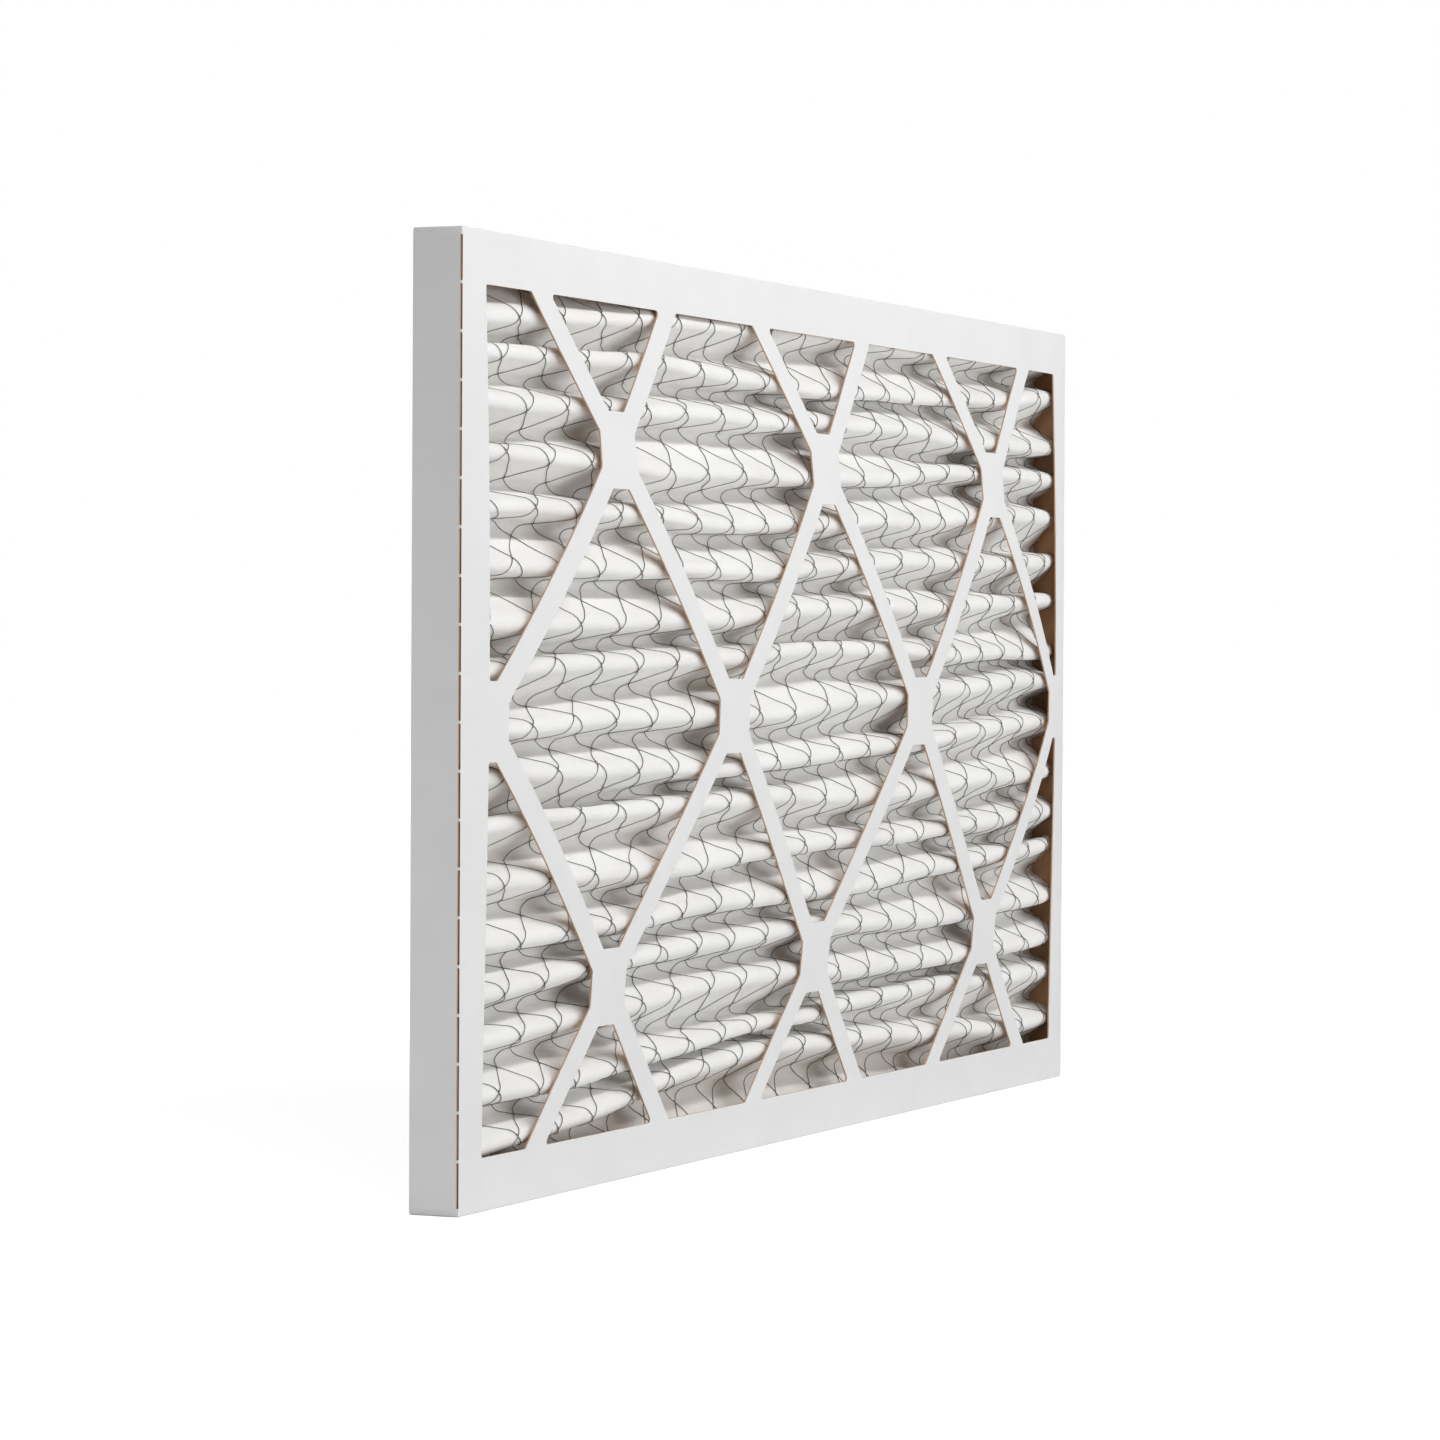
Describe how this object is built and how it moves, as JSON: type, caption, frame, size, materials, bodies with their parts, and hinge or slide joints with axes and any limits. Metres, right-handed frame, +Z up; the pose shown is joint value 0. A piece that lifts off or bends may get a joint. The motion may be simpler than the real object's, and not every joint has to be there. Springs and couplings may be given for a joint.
{
  "type": "pleated panel air filter",
  "caption": "Shallow paperboard frame with a diamond lattice on both faces, holding pleated filter media backed by expanded metal, slid into a ventilation filter slot.",
  "frame": {"origin": "the middle of the bottom edge of the frame", "axes": "+X along the pleats and the long side, +Y from the bowed front face to the rear face, +Z up"},
  "size_m": [0.6224, 0.0312, 0.3429],
  "materials": {
    "paperboard": "clay-coated white paperboard with a brown kraft back",
    "filter_media": "soft nonwoven polyester and cotton media",
    "expanded_metal": "fine galvanised expanded metal, dull grey"
  },
  "bodies": {
    "root": {"front_frame": "paperboard", "rear_frame": "paperboard", "pleated_media": "filter_media", "wire_backing": "expanded_metal"}
  },
  "joints": []
}
